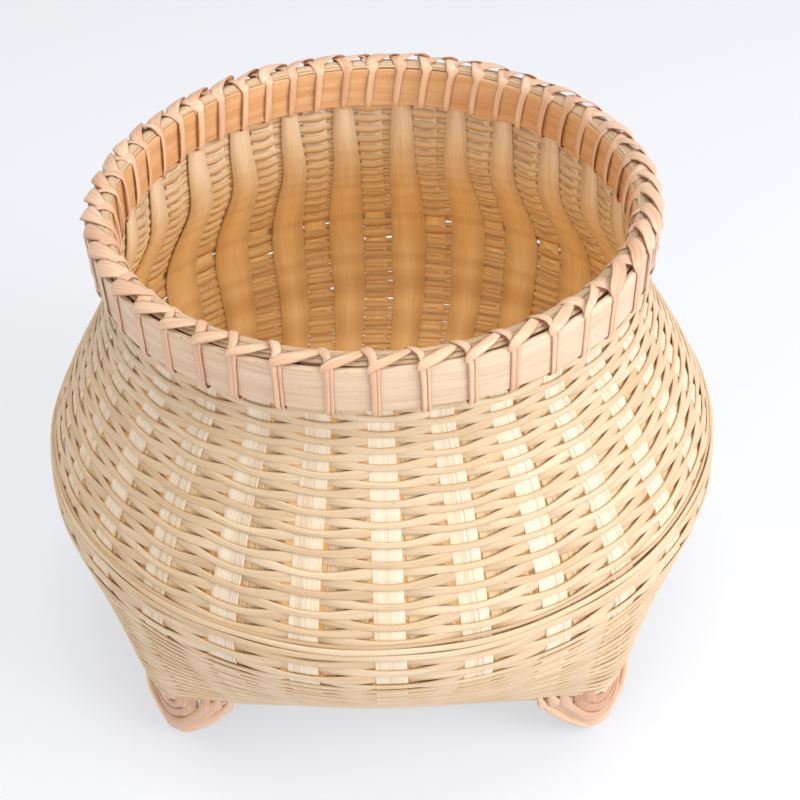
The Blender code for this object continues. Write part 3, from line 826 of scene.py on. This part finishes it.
def stitch_sections(stops, stitch, lift, dice):
    path = stitch_path(stops)
    same = np.random.default_rng(5000 + stitch)
    aside, lean = same.normal(0, STITCH_ASIDE), same.normal(0, STITCH_LEAN)
    leaning = lean * (STRAP_TOP - path[:, 2]) / STRAP_LENGTH * (path[:, 1] > STRAP_RADIUS)
    angle = stitch_angle(stitch + path[:, 0] + aside + leaning)
    radius = path[:, 1] + dice.normal(0, STRAND_ASIDE)
    from_front = abs((STITCH_PLACES[stitch] + 180) % 360 - 180)
    lies_flat = ease((from_front - EDGED_WITHIN) / (FLAT_BEYOND - EDGED_WITHIN))
    loose = ease((path[:, 2] - LOOSE_FROM) / LOOSE_OVER)
    height = path[:, 2] + loose * (dice.normal(0, LOOSE_LIFT) + lift * lies_flat)
    middle = rim_points(angle, radius, height)
    ways = unit(np.gradient(middle, axis=0))
    side = unit(np.cross(facing_out(angle, radius, height), ways))
    normal = np.cross(ways, side)
    roll = dice.normal(0, STRAND_ROLL)
    rolled_side = side * math.cos(roll) + normal * math.sin(roll)
    rolled_normal = normal * math.cos(roll) - side * math.sin(roll)
    over_top = ease((path[:, 2] - WIDER_FROM) / WIDER_OVER)
    flattened = 1 + (FLAT_CANE - 1) * lies_flat
    width = path[:, 3] * (1 + over_top * (flattened * dice.uniform(LEAST_WIDTH, MOST_WIDTH) - 1))
    return swept(middle, rolled_side, rolled_normal, CANE_SECTION, width, CANE_THICKNESS)


def add_stitches(name, stops, first_seed, shade, lift):
    """All stitches of one strand, as one piece of separate loops that end inside the wall."""
    parts = []
    for stitch in range(STITCHES):
        dice = np.random.default_rng(first_seed + stitch)
        sections = stitch_sections(stops, stitch, lift, dice)
        tones = dice.uniform(0, CANE_TONES) + shade * CANE_EDGE_COLOUR_AND_SHADE
        grain_start = CANE_GRAIN + CANE_GRAIN_STEP * stitch
        parts.append(add_strand(
            f"{name}_{stitch}", sections, CANE_SECTION_GRAIN, tones, np.zeros(7), False, grain_start))
    bpy.ops.object.select_all(action="DESELECT")
    for part in parts:
        part.select_set(True)
    bpy.context.view_layer.objects.active = parts[0]
    bpy.ops.object.join()
    piece = bpy.context.object
    piece.name = piece.data.name = name
    return piece


for name, stops, seed, shade, lift in (
        ("lashing_right_strap", RIGHT_STRAP, 1000, 0.5, 0.0),
        ("lashing_left_strap_and_hook", LEFT_STRAP_AND_HOOK, 2000, 0.4, -0.7),
        ("lashing_leaf_strand", LEAF_STRAND, 4000, 0.35, 0.5)):
    strand = add_stitches(name, stops, seed, shade, lift)
    dress(strand, lashing_cane, "lashing_cane", "rim_lashing")

# Feet: cane bent to a point under each corner of the base, its ends pushed up beside the stakes.
# Strands lie one inside the other, and the outer one reaches down to the ground. The arm on the
# left or right side of the base stands well out, and the arm in front or behind lies close.
FOOT_WIDTHS = (4.2, 5.6, 5.8, 6.0, 5.4, 6.0)
FOOT_THICKNESSES = (3.2, 2.8, 2.4, 2.2, 2.0, 1.8)
FOOT_TONES = (0.0, 0.12, 0.28, 0.4, 0.34, 0.5)
FOOT_STEPS = 60
FOOT_SIDES = 10
FOOT_END_STEPS, FOOT_END_WIDTH = 5, 0.55
FOOT_EDGE_TONE, FOOT_EDGE_FROM = 0.2, 0.6
FOOT_GRAIN_WIDTH = 9.0
FOOT_GRAIN, CORNER_GRAIN_STEP = 90000.0, 311
SIDE_LENGTH = 2 * BASE_HALF_WIDTH
# Each stop: share of a base side from the corner, height, stand-off.
FOOT_STRANDS = (
    ((-0.185, 47.0, -1.0), (-0.176, 41.0, 3.2), (-0.156, 31.0, 6.6), (-0.120, 21.0, 8.0),
     (-0.078, 13.0, 6.6), (-0.032, 6.2, 1.4), (-0.006, 2.2, -1.6), (0.0, 1.9, -2.2),
     (0.008, 2.4, -1.6), (0.040, 7.6, 0.6), (0.086, 14.2, 2.4), (0.130, 22.0, 2.8),
     (0.158, 29.0, 2.4), (0.172, 36.0, -1.0)),
    ((-0.158, 44.0, -1.0), (-0.148, 37.5, 2.8), (-0.122, 27.0, 4.8), (-0.086, 17.8, 4.6),
     (-0.044, 11.0, 2.0), (-0.008, 7.4, 1.4), (0.030, 9.8, 1.2), (0.070, 15.8, 1.8),
     (0.108, 23.5, 2.4), (0.136, 31.0, 1.8), (0.146, 36.0, -1.0)),
    ((-0.130, 40.0, -1.0), (-0.116, 33.0, 2.6), (-0.086, 24.0, 4.0), (-0.046, 15.8, 3.0),
     (-0.004, 11.8, 1.4), (0.034, 14.0, 2.4), (0.074, 20.5, 3.2), (0.104, 28.0, 2.6),
     (0.116, 35.0, -1.0)),
    ((-0.098, 36.0, -1.0), (-0.084, 29.0, 2.4), (-0.052, 21.8, 2.2), (-0.014, 16.2, 1.0),
     (0.024, 17.8, 1.2), (0.058, 24.0, 2.4), (0.074, 33.0, -1.0)),
    ((-0.074, 35.0, -1.0), (-0.060, 29.0, 1.6), (-0.030, 23.4, 1.0), (0.000, 21.8, 0.6),
     (0.032, 23.6, 1.0), (0.050, 29.0, 1.6), (0.060, 35.0, -1.0)),
    ((-0.086, 35.0, -1.0), (-0.070, 27.5, 1.2), (-0.036, 20.4, 0.8), (0.000, 18.4, 0.2),
     (0.036, 20.6, 0.8), (0.066, 27.5, 1.6), (0.080, 35.0, -1.0)))


def corner_path(corner, stops):
    """Points of a strand round one corner of the base, turned over at every second corner."""
    stops = np.array(stops, float)
    stops[:, 0] *= 1 if corner % 2 == 0 else -1
    gaps = np.hypot(np.diff(stops[:, 0]) * SIDE_LENGTH, np.diff(stops[:, 1]))
    path = smooth_through(stops, gaps, FOOT_STEPS)
    stake = (corner + path[:, 0]) * STAKES_PER_SIDE
    height = path[:, 1]
    base = wall_middle(stake, np.maximum(height, BASE_HEIGHT))
    normal = wall_normal(stake, np.maximum(height, BASE_HEIGHT))
    normal[:, 2] = 0
    normal = unit(normal)
    points = base + normal * path[:, 2:3]
    points[:, 2] = height
    return points, normal


FOOT_CIRCLE = np.arange(FOOT_SIDES) * 2 * np.pi / FOOT_SIDES
FOOT_ROUND = np.stack((np.cos(FOOT_CIRCLE), np.sin(FOOT_CIRCLE)), axis=-1)
FROM_FOOT_END = np.minimum(np.arange(FOOT_STEPS), np.arange(FOOT_STEPS)[::-1])
FOOT_ENDS = np.clip(FROM_FOOT_END / FOOT_END_STEPS, FOOT_END_WIDTH, 1)

for corner, place in enumerate(("front_left", "front_right", "back_right", "back_left")):
    for number, stops in enumerate(FOOT_STRANDS):
        points, normal = corner_path(corner, stops)
        ways = unit(np.gradient(points, axis=0))
        side = unit(np.cross(normal, ways))
        out = np.cross(ways, side)
        width = FOOT_WIDTHS[number] * FOOT_ENDS
        half_thickness = FOOT_THICKNESSES[number] / 2 * FOOT_ENDS
        sections = swept(points, side, out, FOOT_ROUND, width, half_thickness)
        across = np.linspace(0, FOOT_GRAIN_WIDTH, FOOT_SIDES + 1)
        tones = FOOT_TONES[number] + FOOT_EDGE_TONE * (np.cos(2 * FOOT_CIRCLE) > FOOT_EDGE_FROM)
        grain_start = FOOT_GRAIN + CORNER_GRAIN_STEP * corner + CANE_GRAIN_STEP * number
        strand = add_strand(
            f"foot_cane_{place}_{number + 1}", sections, across, tones, np.zeros(FOOT_SIDES), False,
            grain_start)
        dress(strand, lashing_cane, "lashing_cane", f"foot_{place}")

# Floor, light and camera: a pale floor, soft plain light from the right, from above and from the
# front, and a camera that looks down on the basket. Floor and surroundings look paler to the camera
# than the light that they throw on the basket.
FLOOR_SIZE = 9.0
FLOOR_GLOW = 0.55
FLOOR_ROUGHNESS = 0.7
SKY_STRENGTH = 0.52
bpy.ops.object.select_all(action="DESELECT")
bpy.ops.mesh.primitive_grid_add(x_subdivisions=8, y_subdivisions=8, size=FLOOR_SIZE, location=(0, 0, 0))
floor = bpy.context.object
floor.name = floor.data.name = "pale_floor"


def larger_of(tree, first, second):
    node = tree.nodes.new("ShaderNodeMath")
    node.operation = "MAXIMUM"
    tree.links.new(first, node.inputs[0])
    tree.links.new(second, node.inputs[1])
    return node.outputs[0]


def looked_at(tree):
    """One where it is looked at, straight, by gloss or through glass, and nought where it only lights."""
    rays = tree.nodes.new("ShaderNodeLightPath").outputs
    direct_or_gloss = larger_of(tree, rays["Is Camera Ray"], rays["Is Glossy Ray"])
    return larger_of(tree, direct_or_gloss, rays["Is Transmission Ray"])


floor_paint = bpy.data.materials.new("pale floor")
floor_paint.use_nodes = True
floor_tree = floor_paint.node_tree
floor_shader = floor_tree.nodes["Principled BSDF"]
floor_shader.inputs["Base Color"].default_value = paint(241, 244, 254)
floor_shader.inputs["Roughness"].default_value = FLOOR_ROUGHNESS
floor_glow = floor_tree.nodes.new("ShaderNodeEmission")
floor_glow.inputs["Color"].default_value = paint(244, 249, 255)
part_of_it = floor_tree.nodes.new("ShaderNodeMath")
part_of_it.operation = "MULTIPLY"
part_of_it.inputs[1].default_value = FLOOR_GLOW
blend = floor_tree.nodes.new("ShaderNodeMixShader")
floor_tree.links.new(looked_at(floor_tree), part_of_it.inputs[0])
floor_tree.links.new(part_of_it.outputs[0], blend.inputs["Fac"])
floor_tree.links.new(floor_shader.outputs["BSDF"], blend.inputs[1])
floor_tree.links.new(floor_glow.outputs["Emission"], blend.inputs[2])
floor_tree.links.new(blend.outputs["Shader"], floor_tree.nodes["Material Output"].inputs["Surface"])
floor.data.materials.append(floor_paint)

world = bpy.data.worlds.new("white room")
world.use_nodes = True
world_tree = world.node_tree
room_light = world_tree.nodes["Background"]
room_light.inputs["Color"].default_value = paint(255, 245, 232)
room_light.inputs["Strength"].default_value = SKY_STRENGTH
far_wall = world_tree.nodes.new("ShaderNodeBackground")
far_wall.inputs["Color"].default_value = paint(224, 225, 229)
either = world_tree.nodes.new("ShaderNodeMixShader")
world_tree.links.new(looked_at(world_tree), either.inputs["Fac"])
world_tree.links.new(room_light.outputs["Background"], either.inputs[1])
world_tree.links.new(far_wall.outputs["Background"], either.inputs[2])
world_tree.links.new(either.outputs["Shader"], world_tree.nodes["World Output"].inputs["Surface"])
bpy.context.scene.world = world


BASKET_MIDDLE = (0.0, 0.0, 0.1)


def place_light(name, data, place):
    lamp = bpy.data.objects.new(name, data)
    bpy.context.scene.collection.objects.link(lamp)
    lamp.location = place
    return lamp


def add_lamp(name, place, size, watts, colour):
    """A square lamp that faces the basket."""
    data = bpy.data.lights.new(name, "AREA")
    data.shape = "SQUARE"
    data.size = size
    data.energy = watts
    data.color = colour
    lamp = place_light(name, data, place)
    away = unit(np.array(place) - np.array(BASKET_MIDDLE))
    lamp.rotation_euler = (math.acos(away[2]), 0.0, math.atan2(away[0], -away[1]))


def add_glow(name, place, size, watts, colour):
    """A small round lamp that isn't seen itself. It stands for the light that comes through the wall."""
    data = bpy.data.lights.new(name, "POINT")
    data.shadow_soft_size = size
    data.energy = watts
    data.color = colour
    place_light(name, data, place).visible_camera = False


# Each lamp: name, place and size in metres, watts and colour.
add_lamp("window_light", (1.35, -0.55, 0.95), 1.0, 20.0, (1.0, 0.995, 0.985))
add_glow("glow_through_the_wall", BASKET_MIDDLE, 0.045, 0.15, (1.0, 0.9, 0.74))
add_lamp("ceiling_light", (0.0, -0.15, 1.35), 0.5, 5.0, (1.0, 1.0, 1.0))
add_lamp("room_light", (-0.4, -1.5, 0.75), 1.2, 5.5, (1.0, 0.985, 0.96))

EYE = np.array((15.0, -385.64, 443.41)) * MM
EYE_YAW, EYE_PITCH, EYE_ROLL = math.radians(-1.113), math.radians(41.385), math.radians(-1.66)
LENS, SENSOR_WIDTH = 56.56, 36.0
NEAREST, FURTHEST = 0.02, 30.0
camera_data = bpy.data.cameras.new("camera")
camera_data.lens = LENS
camera_data.sensor_width = SENSOR_WIDTH
camera_data.clip_start = NEAREST
camera_data.clip_end = FURTHEST
camera = bpy.data.objects.new("camera", camera_data)
bpy.context.scene.collection.objects.link(camera)
forward = np.array((
    math.sin(EYE_YAW) * math.cos(EYE_PITCH), math.cos(EYE_YAW) * math.cos(EYE_PITCH),
    -math.sin(EYE_PITCH)))
level_right = np.array((math.cos(EYE_YAW), -math.sin(EYE_YAW), 0.0))
level_up = np.cross(level_right, forward)
eye_right = math.cos(EYE_ROLL) * level_right + math.sin(EYE_ROLL) * level_up
eye_up = -math.sin(EYE_ROLL) * level_right + math.cos(EYE_ROLL) * level_up
camera.matrix_world = Matrix([
    [eye_right[i], eye_up[i], -forward[i], EYE[i]] for i in range(3)] + [[0, 0, 0, 1]])
bpy.context.scene.camera = camera
bpy.context.scene.view_settings.view_transform = "Standard"
